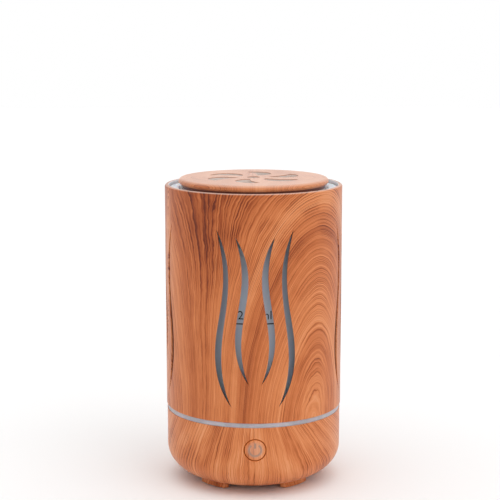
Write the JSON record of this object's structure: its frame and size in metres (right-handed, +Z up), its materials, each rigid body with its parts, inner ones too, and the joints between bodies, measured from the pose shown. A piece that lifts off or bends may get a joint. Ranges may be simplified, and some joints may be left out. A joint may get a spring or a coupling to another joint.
{
  "type": "essential oil diffuser",
  "caption": "Round ultrasonic aroma diffuser with a lift-off wood-look sleeve with wave slots, lift-off lid, water tank, light ring, fan, mist disc and power button.",
  "frame": {"origin": "centre of the plane that the four rubber feet stand on", "axes": "+Z up along the body's axis, -Y towards the power button (front), +Y towards the low-voltage inlet (back), +X to the right seen from the front"},
  "size_m": [0.096, 0.096, 0.1663],
  "materials": {
    "wood_print": "satin printed wood grain",
    "white_plastic": "satin moulded plastic",
    "tank_plastic": "translucent frosted plastic",
    "light_diffuser": "translucent frosted ring",
    "pad_rubber": "matt rubber",
    "silicone": "soft translucent silicone",
    "black_plastic": "matt moulded plastic",
    "clamp_plastic": "moulded plastic",
    "screw_steel": "zinc plated",
    "contact_metal": "nickel plated",
    "bearing_brass": "turned brass",
    "ferrite": "sintered ferrite",
    "copper_winding": "enamelled copper",
    "aluminium": "extruded",
    "circuit_board": "solder mask",
    "connector_plastic": "nylon",
    "led_lens": "moulded lens in white case",
    "lead_jacket": "cable jacket"
  },
  "bodies": {
    "base": {"air_chimney": "tank_plastic", "air_duct": "black_plastic", "base_screws": "screw_steel", "base_shell": "wood_print", "board_screws": "screw_steel", "capacitor_1": "aluminium", "capacitor_2": "aluminium", "clamp_screws": "screw_steel", "connector_1": "connector_plastic", "connector_2": "connector_plastic", "connector_3": "connector_plastic", "controller_chip": "black_plastic", "dc_jack": "black_plastic", "dc_jack_nut": "contact_metal", "dc_jack_pin": "contact_metal", "dc_lead": "lead_jacket", "fan_bush": "bearing_brass", "fan_frame": "black_plastic", "fan_lead": "lead_jacket", "fan_screws": "screw_steel", "fan_stator": "copper_winding", "foot_pad_1": "pad_rubber", "foot_pad_2": "pad_rubber", "foot_pad_3": "pad_rubber", "foot_pad_4": "pad_rubber", "heat_sink": "aluminium", "inductor": "ferrite", "led_1": "led_lens", "led_2": "led_lens", "led_3": "led_lens", "led_4": "led_lens", "led_5": "led_lens", "led_6": "led_lens", "led_board": "circuit_board", "led_lead": "lead_jacket", "light_ring": "light_diffuser", "main_board": "circuit_board", "power_transistor": "black_plastic", "switch_board": "circuit_board", "switch_lead": "lead_jacket", "switch_screws": "screw_steel", "tact_switch": "black_plastic", "tank": "tank_plastic", "tank_floor": "tank_plastic", "transducer_clamp": "clamp_plastic", "transducer_disc": "bearing_brass", "transducer_lead": "lead_jacket", "transducer_seal": "silicone"},
    "sleeve": {"sleeve": "wood_print"},
    "lid": {"lid_cap": "wood_print", "lid_insert": "white_plastic", "lid_seal": "silicone", "mist_nozzle": "white_plastic", "lid_screws": "screw_steel"},
    "button": {"power_button": "wood_print", "switch_plunger": "black_plastic"},
    "fan_rotor": {"fan_rotor": "black_plastic", "rotor_magnet": "ferrite", "fan_shaft": "screw_steel"}
  },
  "joints": [
    {"name": "sleeve_lift", "type": "slide", "parent": "base", "child": "sleeve", "axis": [0, 0, 1], "range_m": [0, 0.13]},
    {"name": "lid_lift", "type": "slide", "parent": "base", "child": "lid", "axis": [0, 0, 1], "range_m": [0, 0.06]},
    {"name": "button_press", "type": "slide", "parent": "base", "child": "button", "axis": [0, 1, 0], "range_m": [0, 0.0005], "stiffness_N_per_m": 3000},
    {"name": "fan_spin", "type": "hinge", "parent": "base", "child": "fan_rotor", "pos_m": [0.016, 0, 0.0106], "axis": [0, 0, 1], "continuous": true}
  ]
}
